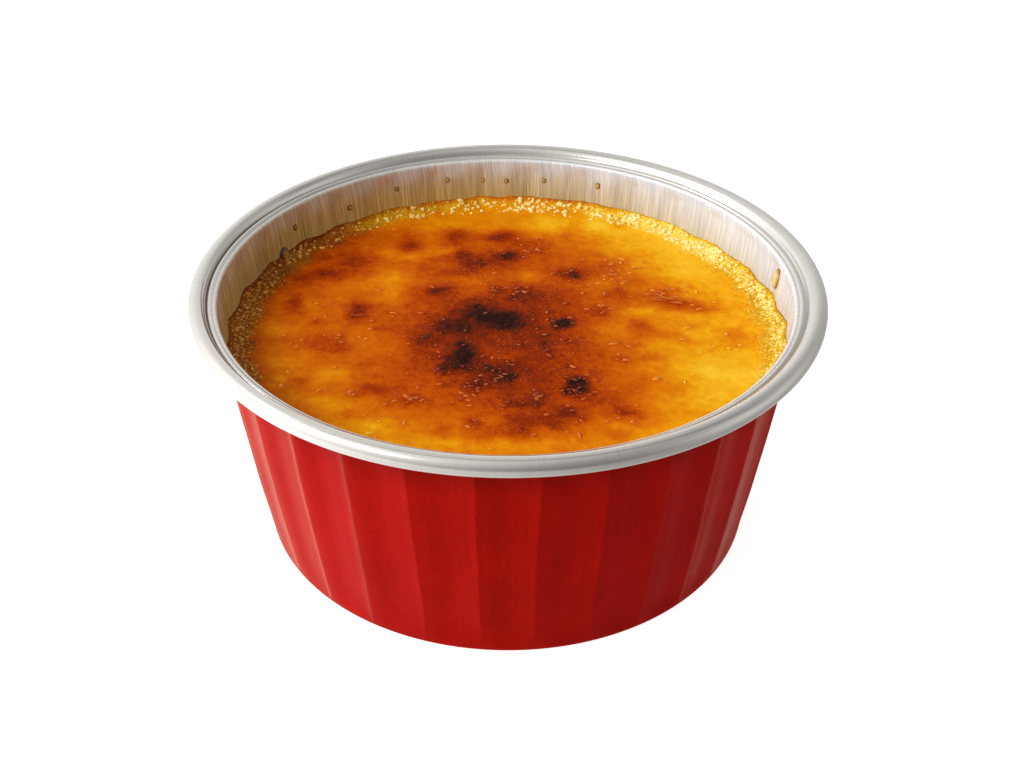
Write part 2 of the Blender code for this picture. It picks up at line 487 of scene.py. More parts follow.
# Browned patches: (x, y) from the middle in mm, half-widths across and along, how much darker they are.
BROWNED = (
    # the dark middle and what hangs on to it
    (1.5, 9.2, 5.6, 2.6, 0.09), (6.2, 5.0, 2.8, 2.4, 0.02), (-11.5, -3.0, 1.8, 4.0, 0.06),
    (5.0, -2.8, 1.3, 1.7, 0.08), (-1.0, -10.5, 4.4, 1.8, 0.09), (-3.0, -14.5, 3.4, 2.0, 0.06),
    (-5.0, -4.0, 4.0, 5.0, 0.05), (4.0, -15.0, 4.0, 2.2, 0.07), (13.4, 4.0, 1.3, 1.3, 0.15),
    (2.0, -18.6, 2.8, 1.6, 0.12), (6.0, -22.0, 2.4, 2.0, 0.20), (1.8, -22.6, 2.0, 1.6, 0.22),
    (8.3, -20.2, 1.8, 1.2, 0.18), (-4.2, -22.8, 0.9, 0.8, 0.18), (12.6, -17.0, 3.0, 2.0, 0.14),
    (15.3, -20.3, 1.9, 1.4, 0.24), (-1.5, -24.5, 2.4, 1.1, 0.16), (3.0, -25.6, 4.0, 0.9, 0.05),
    # behind it
    (-1.2, 26.6, 2.6, 1.9, 0.25), (2.6, 24.2, 2.4, 1.6, 0.12), (-8.1, 26.4, 1.9, 1.9, 0.24),
    (-14.7, 23.8, 1.5, 1.8, 0.22), (-5.4, 17.6, 2.2, 2.0, 0.19), (-7.0, 20.8, 1.6, 1.3, 0.13),
    (-0.8, 19.9, 3.2, 2.4, 0.20), (5.8, 20.8, 1.8, 2.0, 0.07), (9.4, 14.7, 1.5, 1.3, 0.16),
    (9.5, 16.2, 4.6, 2.2, 0.09), (15.0, 17.4, 2.4, 1.6, 0.10), (-10.1, 10.0, 2.3, 1.5, 0.25),
    (-9.0, 15.0, 3.0, 1.2, 0.10), (-6.0, 21.5, 3.0, 2.0, 0.08), (13.2, 21.2, 1.6, 1.2, 0.08),
    (-14.2, 17.3, 2.6, 1.6, 0.12), (-9.6, 18.8, 1.8, 1.2, 0.11), (-15.8, 29.0, 1.2, 1.6, 0.10),
    (20.0, 21.0, 2.6, 1.6, 0.08), (17.3, 30.0, 1.6, 1.6, 0.12),
    # left
    (-26.4, 15.0, 2.3, 1.6, 0.22), (-22.6, 18.6, 2.6, 2.0, 0.20), (-29.8, 13.0, 1.8, 1.5, 0.16),
    (-27.5, 19.5, 2.4, 1.2, 0.12), (-30.6, 6.2, 1.3, 2.8, 0.20), (-21.0, 3.0, 1.5, 2.6, 0.20),
    (-26.0, 23.5, 4.5, 3.0, 0.09), (-33.5, 13.0, 2.5, 4.0, 0.06), (-20.0, 27.5, 4.0, 2.4, 0.08),
    (-20.0, 5.6, 2.6, 1.3, 0.12), (-26.7, 0.9, 1.0, 0.8, 0.12), (-25.4, -3.9, 1.9, 1.4, 0.14),
    (-22.6, -5.8, 1.7, 1.3, 0.12), (-31.0, -3.0, 2.4, 1.0, 0.08), (-17.2, -0.6, 0.9, 0.7, 0.08),
    (-20.8, 15.0, 3.6, 1.4, 0.11), (-18.8, -9.6, 2.2, 1.6, 0.05), (-17.4, -15.2, 2.4, 1.4, 0.20),
    (-12.6, -17.8, 2.2, 1.4, 0.06), (-26.8, -13.4, 1.2, 0.8, 0.12), (-27.6, 8.8, 1.6, 1.4, 0.07),
    (-26.0, 12.4, 1.4, 1.2, 0.05), (-20.0, -21.0, 1.0, 0.7, 0.08), (-7.8, -24.0, 1.0, 1.2, 0.14),
    # right
    (16.0, 9.7, 1.9, 1.8, 0.19), (19.5, 13.0, 3.0, 1.4, 0.12), (23.6, 7.0, 3.8, 1.5, 0.27),
    (22.0, 10.0, 2.8, 1.3, 0.16), (27.4, 5.4, 2.4, 1.2, 0.16), (17.9, 0.2, 1.3, 1.6, 0.20),
    (21.3, -1.2, 2.0, 1.3, 0.12), (15.4, -8.0, 1.8, 1.2, 0.08), (19.4, -7.2, 1.2, 0.8, 0.08),
    (31.2, -1.8, 1.6, 1.6, 0.11), (24.6, -3.2, 1.8, 0.9, 0.08), (17.2, -13.6, 2.2, 2.4, 0.10),
    (13.6, -25.0, 1.4, 0.8, 0.12), (22.4, -14.6, 1.6, 1.2, 0.08), (26.0, 1.2, 1.6, 0.8, 0.08),
    (19.0, -22.4, 2.6, 1.4, 0.05), (24.0, -20.4, 2.2, 1.2, 0.08), (23.6, 3.0, 2.6, 0.9, 0.04),
    (11.4, -12.0, 1.2, 1.2, 0.08), (31.0, -8.0, 1.4, 1.4, 0.05), (25.8, 13.0, 2.0, 2.4, 0.05),
    (5.0, -7.0, 1.6, 1.6, 0.04), (-7.0, -11.0, 1.0, 1.2, 0.05),
)
# Pale patches between them, the same way.
PALE = (
    (-17.0, 14.2, 2.6, 2.3, 0.17), (-16.8, 8.6, 1.8, 2.4, 0.12), (-21.5, 11.0, 2.6, 1.5, 0.07),
    (-14.6, 19.6, 1.6, 1.3, 0.13), (-18.4, 21.2, 1.3, 0.9, 0.10), (-10.6, 21.8, 1.6, 1.5, 0.10),
    (3.1, 14.2, 1.6, 1.4, 0.20), (-4.6, 11.8, 3.2, 2.0, 0.13), (-27.4, 6.4, 1.6, 1.6, 0.05),
    (-32.4, -0.6, 2.0, 2.2, 0.08), (-19.4, -3.4, 1.8, 2.0, 0.07), (-29.5, -8.6, 3.0, 2.0, 0.10),
    (-22.8, -11.8, 2.6, 1.8, 0.14), (-29.6, -13.4, 1.4, 1.4, 0.14), (-22.4, -18.8, 3.0, 2.2, 0.12),
    (-17.0, -23.6, 3.6, 2.4, 0.14), (-9.0, -27.0, 5.0, 1.5, 0.08), (-26.0, -17.4, 2.0, 1.2, 0.07),
    (18.6, 4.6, 2.2, 1.3, 0.07), (13.6, 9.8, 1.4, 0.9, 0.05), (13.6, 12.4, 1.6, 0.9, 0.10),
    (14.2, -0.8, 2.4, 2.0, 0.12), (16.0, 23.0, 3.6, 3.6, 0.12), (17.0, 28.0, 3.0, 2.0, 0.10),
    (24.5, 23.5, 4.5, 4.0, 0.10), (27.0, 16.0, 3.2, 3.0, 0.08), (4.8, 17.8, 1.8, 1.2, 0.05),
    (26.5, -10.6, 2.2, 1.8, 0.10), (30.5, -11.5, 3.0, 4.0, 0.10), (25.5, -17.0, 3.0, 2.6, 0.05),
    (-6.0, 9.0, 4.5, 1.2, 0.07), (-16.0, -5.0, 1.2, 2.0, 0.05), (-13.5, -6.0, 1.6, 1.4, 0.06),
    (-7.2, -15.6, 2.0, 1.4, 0.06), (4.8, -20.2, 1.2, 0.8, 0.05), (6.4, 31.5, 2.4, 2.2, 0.10),
    (13.6, 30.5, 1.8, 2.6, 0.12), (-1.0, -7.0, 2.2, 1.5, 0.08), (0.2, -27.0, 4.0, 1.2, 0.05),
    (9.0, 30.0, 6.0, 2.5, 0.05),
)
# Spots burnt to carbon: half-widths, slant in degrees, and how far they go towards black.
BURNT = (
    (-3.7, 3.4, 3.6, 2.3, -20, 0.20), (0.8, 1.5, 2.6, 1.9, 15, 0.20), (-2.2, 0.2, 3.6, 1.6, -10, 0.10),
    (-7.9, 0.1, 2.4, 1.9, -30, 0.17), (7.4, 0.8, 1.4, 1.0, 35, 0.26), (-5.9, -6.0, 1.4, 2.6, 15, 0.17),
    (-6.8, -9.4, 1.9, 1.8, 0, 0.20), (9.0, -14.4, 1.5, 1.9, 10, 0.30), (0.4, -12.2, 1.1, 1.2, 0, 0.10),
    (-0.1, 20.6, 1.7, 1.4, 20, 0.13), (1.1, -18.6, 1.1, 0.8, 0, 0.07), (5.8, -23.6, 0.6, 0.7, 0, 0.08),
    (9.2, 14.3, 0.9, 0.9, 0, 0.08), (-10.6, -3.2, 1.6, 1.4, 0, 0.08),
)


def ovals(x, y, listed):
    """Sum of soft ovals; each is half as strong at its half-width."""
    total = np.zeros_like(x)
    for at_x, at_y, wide, deep, strength in listed:
        away = ((x - at_x) / wide) ** 2 + ((y - at_y) / deep) ** 2
        total += strength * np.exp(-HALVING * away)
    return total


def burns(x, y):
    """0 off the burnt spots to 1 in the middle of a strong one, with edges a little sharper."""
    total = np.zeros_like(x)
    for at_x, at_y, wide, deep, slant, strength in BURNT:
        turn = radians(slant)
        across = (x - at_x) * cos(turn) + (y - at_y) * sin(turn)
        along = (y - at_y) * cos(turn) - (x - at_x) * sin(turn)
        away = (across / wide) ** 2 + (along / deep) ** 2
        total += strength * np.exp(-HALVING * away**1.5)
    return total


def browning(x, y):
    """How browned the top is, 0 for pale custard to 1 for carbon, and the share that is burnt crust."""
    at = flat_points(x, y)
    bent_x = x + 0.8 * cloud(at, 4.5, 3, 1.0) + 0.25 * cloud(at, 1.3, 2, 21.0)
    bent_y = y + 0.8 * cloud(at, 4.5, 3, 2.0) + 0.25 * cloud(at, 1.3, 2, 22.0)
    value = 0.45 - 0.27 * smooth(9.0, 27.0, bent_x) - 0.16 * smooth(25.0, 31.0, bent_y)
    value -= 0.12 * smooth(-19.0, -27.0, bent_y)
    dome = ((bent_x + 1.0) / 13.5) ** 2 + ((bent_y + 2.5) / 15.5) ** 2
    value += 0.29 * np.exp(-HALVING * dome**1.6)
    value += 1.3 * (ovals(bent_x, bent_y, BROWNED) - ovals(bent_x, bent_y, PALE))
    value += 0.055 * cloud(at, 3.0, 3, 3.0) + 0.055 * cloud(at, 1.1, 3, 4.0)
    value += blister_rims_and_shade(x, y)
    burnt = burns(bent_x, bent_y)
    value += burnt * (1.0 + 0.2 * cloud(at, 0.9, 3, 5.0))
    return np.clip(value, 0.0, 1.0), np.clip(burnt / 0.25, 0.0, 1.0)


def top_height(x, y, from_wall, brown, char):
    """Height over the custard's level: low swells, skin over the browned patches, crusty burnt spots,
    and the uneven climb where the froth dried on to the wall."""
    at = flat_points(x, y)
    swell = 0.14 * cloud(at, 13.0, 2, 6.0) + 0.05 * cloud(at, 3.5, 2, 7.0)
    skin = 0.12 * smooth(0.35, 0.8, brown) + 0.015 * cloud(at, 1.1, 2, 8.0)
    crust = char * (0.15 + 0.16 * cloud(at, 0.7, 3, 9.0))
    scallop = 1.0 + 0.15 * cloud(at, 3.0, 2, 10.0) + 0.08 * cloud(at, 0.9, 2, 12.0)
    climb = 1.35 * np.exp(-from_wall / 0.75) * scallop
    return swell + skin + crust + climb


def surface(x, y):
    """Height, browning and burnt share of the top at points in millimetres from its middle."""
    azimuth = np.arctan2(y, x)
    from_wall = np.maximum(metal_radius(azimuth, LEVEL) + INTO_WALL - np.hypot(x, y), 0.0)
    brown, char = browning(x, y)
    z = LEVEL + top_height(x, y, from_wall, brown, char)
    left = 0.5 - 0.5 * np.cos(azimuth)  # browner towards the wall, most of all on the left
    film = (0.02 + 0.06 * left) * np.exp(-from_wall / (0.5 + 2.4 * left))
    film += (0.05 + 0.12 * left**2) * np.exp(-from_wall / 0.22)
    back = smooth(0.3, 0.9, np.sin(azimuth))  # paler behind, but for a thin line at the wall
    film -= 0.19 * back * np.exp(-from_wall / 1.8)
    film += (0.18 * back + 0.03) * np.exp(-((from_wall / 0.45) ** 2))
    return z, np.clip(brown + film, 0.0, 1.0), char


def froth_share(x, y, brown):
    """How far the skin is made of tiny bubbles: fully along most of the wall, and here and there where it
    is browned."""
    azimuth = np.arctan2(y, x)
    from_wall = metal_radius(azimuth, LEVEL) - np.hypot(x, y)
    side = np.abs(np.cos(azimuth)) ** 0.7
    reach = 1.2 + 2.2 * side + 0.8 * cloud(flat_points(x, y), 2.2, 2, 14.0)
    edge = (1.0 - smooth(reach - 1.6, reach + 1.4, from_wall)) * (0.45 + 0.45 * side)
    patchy = smooth(0.0, 0.5, cloud(flat_points(x, y), 2.6, 3, 15.0))
    return np.clip(edge + patchy * (0.06 + 0.24 * smooth(0.4, 0.65, brown)), 0.0, 1.0)


def top_points():
    """Evenly spread points of the top as (azimuth, share of the radius), ring by ring from the middle."""
    azimuths, shares = [0.0], [0.0]
    for k in range(1, TOP_RINGS + 1):
        count = POINTS_PER_RING * k
        azimuths += [tau * i / count for i in range(count)]
        shares += [k / TOP_RINGS] * count
    return np.array(azimuths), np.array(shares)


def ring_start(k):
    return 0 if k == 0 else 1 + POINTS_PER_RING * k * (k - 1) // 2


def top_faces():
    """Triangles between each ring of the top and the next, which has one more point per sector."""
    faces = []
    for k in range(1, TOP_RINGS + 1):
        inner, outer = ring_start(k - 1), ring_start(k)
        inner_count, outer_count = max(POINTS_PER_RING * (k - 1), 1), POINTS_PER_RING * k
        for sector in range(POINTS_PER_RING):
            for i in range(k):
                a = outer + (sector * k + i) % outer_count
                b = outer + (sector * k + i + 1) % outer_count
                c = inner + (sector * (k - 1) + i) % inner_count
                faces.append((a, b, c))
                if i < k - 1:
                    d = inner + (sector * (k - 1) + i + 1) % inner_count
                    faces.append((b, d, c))
    return faces


def make_custard():
    azimuth, share = top_points()
    edge = metal_radius(azimuth, LEVEL) + INTO_WALL
    x, y = edge * share * np.cos(azimuth), edge * share * np.sin(azimuth)
    z, brown, _ = surface(x, y)
    lean = 1.0 + (metal_radius(azimuth, z) + INTO_WALL - edge) / edge * np.exp(-edge * (1.0 - share) / 0.6)
    points = np.stack([x * lean, y * lean, z], axis=1).tolist()
    faces = top_faces()
    rim_start, rim_count = ring_start(TOP_RINGS), POINTS_PER_RING * TOP_RINGS
    upper, rim_azimuth = rim_start, azimuth[rim_start:]
    for height in (24.0, 18.0, 12.0, 8.0, 5.0, 3.0, BASE_CORNER + 0.5):
        lower = len(points)
        radius = metal_radius(rim_azimuth, height) + INTO_WALL
        points += [(r * cos(a), r * sin(a), height) for r, a in zip(radius, rim_azimuth)]
        for i in range(rim_count):
            j = (i + 1) % rim_count
            faces.append((upper + i, lower + i, lower + j, upper + j))
        upper = lower
    points.append((0.0, 0.0, SHEET + 0.1))
    faces += [(upper + i, len(points) - 1, upper + (i + 1) % rim_count) for i in range(rim_count)]
    custard = make_mesh("custard_body", points, faces)
    hidden = len(points) - len(brown)
    point_values(custard, "browning", np.concatenate([brown, np.full(hidden, 0.3)]))
    point_values(custard, "froth", np.concatenate([froth_share(x, y, brown), np.zeros(hidden)]))
    custard.data.materials.append(caramel())
    return ride_root(custard, "custard", "custard")


# Colours from pale to charred: (how browned, red, green, blue).
CARAMEL_COLOURS = (
    (0.00, 244, 190, 45), (0.08, 239, 178, 32), (0.16, 235, 164, 16), (0.24, 227, 142, 9),
    (0.34, 216, 118, 6), (0.42, 206, 101, 5), (0.50, 195, 88, 4), (0.58, 182, 72, 4), (0.66, 165, 59, 4),
    (0.74, 143, 45, 6), (0.82, 118, 37, 10), (0.90, 82, 30, 15), (0.96, 58, 25, 17), (1.00, 44, 21, 16),
)
FROTH_COLOURS = (
    (0.00, 248, 214, 100), (0.14, 234, 190, 50), (0.28, 205, 154, 24), (0.42, 178, 112, 22),
    (0.58, 152, 83, 18), (0.76, 118, 55, 12), (1.00, 40, 20, 10),
)


def caramel():
    """Custard under a thin glassy caramel. Its colour runs from yellow through orange to charred black,
    and where it has frothed it is a mass of tiny bubbles, with painted shade in the gaps between them
    and paler tops."""
    look = Shader("caramelised_custard")
    place = look.place()
    froth = look.attribute("froth")
    fine = look.noise(place, 1300.0, 2.0, 0.5)
    flecks = look.noise(place, 3200.0, 2.0, 0.6)
    cells = look.cells(place, 2300.0)
    # painted shade in the gaps between the tiny bubbles, and paler tops on them
    bubble_gap_shade = look.times(look.spread(cells, 0.2, 0.65, -0.10, 0.13), froth)
    brown = look.attribute("browning")
    specks = look.times(look.spread(flecks, 0.3, 0.7, -1.0, 1.0), look.spread(brown, 0.35, 0.7, 0.02, 0.07))
    specks = look.times(specks, look.spread(brown, 0.82, 0.98, 1.0, 0.25))
    value = look.add(look.browned(fine, 0.02), specks, bubble_gap_shade)
    colour = look.ramp(value, *CARAMEL_COLOURS)
    colour = look.mix(look.spread(froth, 0.3, 0.9), colour, look.ramp(value, *FROTH_COLOURS))
    dome = look.times(look.spread(cells, 0.1, 0.6, 1.0, 0.0), froth)
    gloss = look.spread(dome, 0.15, 0.8, 0.008, 0.35)
    rough = look.spread(froth, 0.0, 1.0, 0.36, 0.2)
    height = look.add(dome, look.times(look.add(fine, flecks), 0.12))
    bump = look.bump(height, 0.00012)
    return look.set(Base_Color=colour, Roughness=rough, Specular_IOR_Level=gloss, Normal=bump)


# -------------------------------- froth, blisters and drops

def domes(name, centres, sizes, turns, normals, segments=8, **values):
    """Many small domes as one mesh. Each has its centre, half-sizes along its length, width and height,
    a turn about its normal and its own values for the shader."""
    unit = [(0.0, 0.0, 1.0)]
    levels = (58, 30, 4, -28)
    for k, level in enumerate(levels):
        for i in range(segments):
            a = tau * (i + 0.5 * (k % 2)) / segments
            unit.append((cos(a) * cos(radians(level)), sin(a) * cos(radians(level)), sin(radians(level))))
    faces = [(0, 1 + i, 1 + (i + 1) % segments) for i in range(segments)]
    for k in range(len(levels) - 1):
        upper, lower = 1 + k * segments, 1 + (k + 1) * segments
        shift = k % 2
        for i in range(segments):
            j = (i + 1) % segments
            faces.append((upper + i, lower + (i + shift) % segments, upper + j))
            faces.append((lower + (i + shift) % segments, lower + (j + shift) % segments, upper + j))
    unit = np.array(unit)
    normals = normals / np.linalg.norm(normals, axis=1)[:, None]
    side = np.stack([np.cos(turns), np.sin(turns), np.zeros_like(turns)], axis=1)
    side -= normals * (side * normals).sum(axis=1)[:, None]
    side /= np.linalg.norm(side, axis=1)[:, None]
    across = np.cross(normals, side)
    points = centres[:, None, :]
    for k, axis in enumerate((side, across, normals)):
        points = points + axis[:, None, :] * unit[None, :, k, None] * sizes[:, None, k, None]
    count = len(centres)
    all_faces = (np.array(faces)[None] + (np.arange(count) * len(unit))[:, None, None]).reshape(-1, 3)
    obj = make_mesh(name, points.reshape(-1, 3), all_faces.tolist())
    for key, value in values.items():
        point_values(obj, key, np.repeat(value, len(unit)))
    point_values(obj, "top", np.tile(np.clip(unit[:, 2], 0.0, 1.0), count))
    return obj


def facing(azimuth):
    """The angle from +X, in radians, of an azimuth in degrees counted from the front."""
    return np.radians(np.asarray(azimuth, float) - 90.0)


# Froth along the wall: from and to (degrees from the front, rightwards), bubbles, reach in mm, smallest
# and largest radius, how pale.
FROTH = (
    (70, 100, 300, 2.0, 0.10, 0.20, 0.35), (98, 128, 260, 2.5, 0.10, 0.30, 0.48),
    (122, 152, 190, 3.0, 0.12, 0.40, 0.58), (148, 178, 110, 3.4, 0.11, 0.44, 0.52),
    (168, 205, 100, 3.2, 0.11, 0.42, 0.45), (200, 238, 60, 2.6, 0.12, 0.34, 0.40),
    (236, 246, 26, 2.0, 0.12, 0.28, 0.50), (246, 264, 110, 3.2, 0.10, 0.22, 0.25),
    (262, 292, 170, 3.4, 0.10, 0.22, 0.30), (290, 350, 130, 2.4, 0.10, 0.22, 0.30),
    (-12, 72, 220, 2.0, 0.10, 0.24, 0.40),
)


def make_froth():
    rng = np.random.default_rng(7)
    azimuths, depths, radii, pales = [], [], [], []
    for start, end, count, reach, small, large, pale in FROTH:
        azimuths.append(rng.uniform(start, end, count))
        depths.append(0.12 + reach * rng.beta(1.1, 2.0, count))
        radii.append(small + (large - small) * rng.random(count) ** 1.5)
        pales.append(np.clip(pale + 0.35 * rng.standard_normal(count), 0.0, 1.0))
    turn = facing(np.concatenate(azimuths))
    depth, radius, pale = np.concatenate(depths), np.concatenate(radii), np.concatenate(pales)
    edge = metal_radius(turn, LEVEL)
    reach = edge - depth
    x, y = reach * np.cos(turn), reach * np.sin(turn)
    z, brown, _ = surface(x, y)
    inward = np.exp(-depth / 0.8)[:, None]
    normal = np.stack([-np.cos(turn), -np.sin(turn), np.zeros_like(turn)], axis=1) * inward
    normal[:, 2] += 1.0
    centres = np.stack([x, y, z - 0.15 * radius], axis=1)
    sizes = np.stack([radius * rng.uniform(1.0, 1.5, len(radius)), radius, 0.9 * radius], axis=1)
    tone = np.clip(brown - 0.1 - 0.15 * pale, 0.0, 1.0)
    turns = rng.uniform(0, tau, len(radius))
    froth = domes("froth", centres, sizes, turns, normal, browning=tone, pale=pale)
    froth.data.materials.append(froth_skin())
    return ride_root(froth, "custard")


def froth_skin():
    """Glassy little bubbles, clear ones golden and dried ones cream, each painted darker at its foot
    and paler and creamier on top as shade and highlight.
    """
    look = Shader("froth", Specular_IOR_Level=0.3, Specular_Tint=(1.0, 0.86, 0.62, 1.0))
    fine = look.noise(look.place(), 2500.0, 2.0)
    top = look.attribute("top")
    # painted shade and highlight: darker at the foot of each bubble, paler on top
    value = look.add(look.browned(fine, 0.06), look.spread(top, 0.0, 1.0, 0.12, -0.06))
    golden = look.ramp(value, (0.0, 248, 214, 112), (0.2, 230, 174, 60), (0.4, 204, 134, 52),
                       (0.6, 176, 100, 40), (0.8, 122, 60, 20))
    cream = look.ramp(value, (0.0, 250, 230, 164), (0.3, 236, 196, 110), (0.7, 204, 138, 66))
    # painted highlight: the cream gathers on the tops of the bubbles
    share = look.times(look.attribute("pale"), look.spread(top, 0.1, 0.9, 0.3, 1.0))
    colour = look.mix(look.spread(share, 0.25, 0.9, 0.0, 0.85), golden, cream)
    rough = look.spread(fine, 0.3, 0.7, 0.16, 0.3)
    return look.set(Base_Color=colour, Roughness=rough, Normal=look.bump(fine, 0.00002))


# Blisters in the caramel: (x, y), half-length, half-width, height, slant in degrees.
BLISTERS = (
    (-12.9, -16.9, 0.7, 0.35, 0.35, -40), (-12.1, -17.5, 0.6, 0.35, 0.35, 20),
    (-11.5, -17.3, 0.4, 0.3, 0.3, 0), (-20.1, -15.9, 0.6, 0.4, 0.4, 30), (-19.6, -16.5, 0.4, 0.3, 0.3, 0),
    (-24.2, -15.6, 0.5, 0.25, 0.3, 40), (-2.7, -14.0, 0.35, 0.25, 0.3, 0),
    (4.3, -16.8, 0.5, 0.25, 0.3, 30), (3.9, -17.1, 0.25, 0.2, 0.25, 0), (-2.0, -7.8, 0.35, 0.3, 0.3, 0),
    (-5.8, -1.1, 0.25, 0.22, 0.25, 0), (4.0, -0.3, 0.22, 0.2, 0.22, 0), (5.5, 4.1, 0.25, 0.25, 0.25, 0),
    (8.7, 2.7, 0.5, 0.2, 0.22, -10), (10.7, 9.4, 0.22, 0.3, 0.3, 0), (13.9, 9.3, 0.32, 0.4, 0.35, 0),
    (15.6, -22.3, 0.3, 0.4, 0.3, 20), (8.9, -25.2, 0.2, 0.8, 0.25, 10),
    (-12.8, -22.5, 0.18, 0.6, 0.2, -8), (19.5, -12.6, 0.65, 0.35, 0.35, 20),
    (14.9, -6.8, 0.3, 0.25, 0.25, 0), (15.8, -8.2, 0.6, 0.25, 0.25, -15), (14.4, -4.0, 0.8, 0.22, 0.2, 5),
    (23.1, -13.2, 0.2, 0.4, 0.25, 0), (27.1, 10.2, 0.22, 0.6, 0.3, 0), (27.0, 5.3, 0.55, 0.25, 0.25, 10),
    (24.7, 0.4, 0.6, 0.2, 0.22, 15), (23.8, -2.6, 0.5, 0.22, 0.22, 10), (30.0, -1.2, 0.35, 0.4, 0.3, 0),
    (29.9, -4.9, 0.35, 0.25, 0.25, 0), (-22.7, -10.1, 0.28, 0.28, 0.3, 0),
    (-15.6, -7.0, 0.2, 0.25, 0.22, 0), (-16.0, 3.8, 0.8, 0.12, 0.14, -20),
    (-20.9, 2.9, 0.9, 0.1, 0.12, 4), (-26.7, 2.0, 0.3, 0.15, 0.16, 0), (-25.0, -2.2, 0.25, 0.25, 0.22, 0),
    (-22.7, -2.0, 0.15, 0.35, 0.2, 0), (-19.2, -3.1, 0.45, 0.2, 0.2, 0), (-30.5, -2.1, 0.3, 0.2, 0.2, 0),
    (-29.3, -4.2, 0.15, 0.35, 0.2, 0), (-28.8, -11.2, 0.3, 0.45, 0.25, 20),
    (-29.2, -14.6, 0.4, 0.5, 0.3, 30), (15.4, 18.1, 0.55, 0.3, 0.3, 0), (16.8, 18.6, 0.35, 0.4, 0.3, 0),
    (14.6, 19.4, 0.3, 0.4, 0.3, 0), (16.8, 12.5, 0.5, 0.3, 0.3, 30), (4.4, 22.4, 0.35, 0.28, 0.25, 0),
    (1.6, 25.6, 0.4, 0.2, 0.2, 0),
)
# Where small glints gather: (x, y), half-widths, how many.
GLINTS = (
    (-5.2, -15.4, 1.2, 1.6, 40), (4.0, -16.6, 1.0, 0.9, 26), (0.8, 10.4, 2.6, 1.6, 34),
    (-3.2, 11.2, 1.3, 1.5, 14), (4.4, 21.6, 1.0, 1.0, 10), (0.4, 20.8, 1.6, 1.4, 20),
    (-8.6, 23.8, 1.6, 1.0, 10), (9.0, 14.6, 1.4, 1.2, 20), (14.6, 18.2, 3.0, 1.6, 26),
    (16.8, 14.2, 1.6, 1.8, 24), (12.4, 14.0, 1.8, 1.2, 14), (23.2, 9.4, 2.4, 1.6, 30),
    (7.4, 1.2, 1.3, 1.1, 14), (9.0, -14.4, 1.9, 2.1, 60), (0.5, -12.2, 1.6, 1.4, 16),
    (-3.0, -10.5, 3.0, 3.0, 30), (5.6, -3.0, 2.0, 3.0, 22), (-9.0, -12.0, 2.6, 1.8, 16),
    (-11.5, -3.5, 1.6, 2.4, 12), (-26.0, 6.8, 1.4, 1.2, 12), (8.8, -20.6, 1.8, 1.8, 16),
    (5.6, -23.2, 1.6, 1.6, 10), (14.6, -20.6, 2.6, 1.8, 14), (2.0, -18.6, 2.4, 1.0, 14),
    (14.6, 5.4, 1.6, 1.6, 12), (-29.2, -13.2, 1.6, 2.4, 16), (-14.0, -17.4, 4.0, 1.4, 14),
    (29.0, -2.8, 2.0, 3.0, 12), (-4.0, -22.8, 1.0, 0.8, 10), (-24.0, -4.0, 5.0, 4.0, 24),
    (16.0, -6.0, 2.0, 3.0, 10), (25.0, -10.0, 5.0, 5.0, 22), (-16.0, -22.0, 5.0, 3.0, 14),
    (0.0, 0.0, 12.0, 12.0, 90), (0.0, 0.0, 30.0, 30.0, 160),
)


def blister_rows():
    """Every blister as (x, y, half-length, half-width, height, slant)."""
    rng = np.random.default_rng(11)
    rows = [list(blister) for blister in BLISTERS]
    for at_x, at_y, wide, deep, count in GLINTS:
        for _ in range((count + 1) // 2):
            x, y = at_x + 0.75 * wide * rng.standard_normal(), at_y + 0.75 * deep * rng.standard_normal()
            size = 0.08 + 0.16 * rng.random() ** 2
            rows.append([x, y, size * rng.uniform(1.2, 3.0), size, size * 0.7, rng.uniform(-40, 40)])
    for _ in range(22):  # fine wrinkles in the skin on the right
        x, y = 23.2 + 2.0 * rng.standard_normal(), 8.9 + 1.4 * rng.standard_normal()
        rows.append([x, y, rng.uniform(0.4, 1.0), 0.10, 0.06, rng.uniform(-22, -4)])
    return np.array([row for row in rows if np.hypot(row[0], row[1]) < 35.0])


def blister_rims_and_shade(x, y):
    """The skin is browner just beside each blister, that ring shifted a little to the right and front as
    painted shade.
    """
    total = np.zeros_like(x)
    for at_x, at_y, length, width, _, _ in blister_rows():
        near = (np.abs(x - at_x) < 2.5) & (np.abs(y - at_y) < 2.5)
        across = (x[near] - at_x - 0.1) / (length + 0.25)
        along = (y[near] - at_y + 0.15) / (width + 0.3)
        away = across**2 + along**2
        total[near] += 0.06 * np.exp(-HALVING * away)
    return np.minimum(total, 0.12)


def make_blisters():
    rng = np.random.default_rng(12)
    rows = blister_rows()
    x, y = rows[:, 0], rows[:, 1]
    z, brown, _ = surface(x, y)
    centres = np.stack([x, y, z - 0.25 * rows[:, 4]], axis=1)
    tone = np.clip(0.78 * brown - 0.05 + 0.05 * rng.standard_normal(len(x)), 0.0, 1.0)
    up = np.zeros((len(x), 3))
    up[:, 2] = 1.0
    blisters = domes("blisters", centres, rows[:, 2:5], np.radians(rows[:, 5]), up, browning=tone)
    blisters.data.materials.append(blister_skin())
    return ride_root(blisters, "custard")


def blister_skin():
    """Bubbles of clear caramel, glossier than the skin around them."""
    look = Shader("blisters", Specular_IOR_Level=0.6, Specular_Tint=(1.0, 0.82, 0.6, 1.0))
    fine = look.noise(look.place(), 2200.0, 2.0)
    rough = look.spread(fine, 0.3, 0.7, 0.08, 0.16)
    colour = look.ramp(look.browned(fine, 0.06), *CARAMEL_COLOURS)
    return look.set(Base_Color=colour, Roughness=rough, Normal=look.bump(fine, 0.00002))


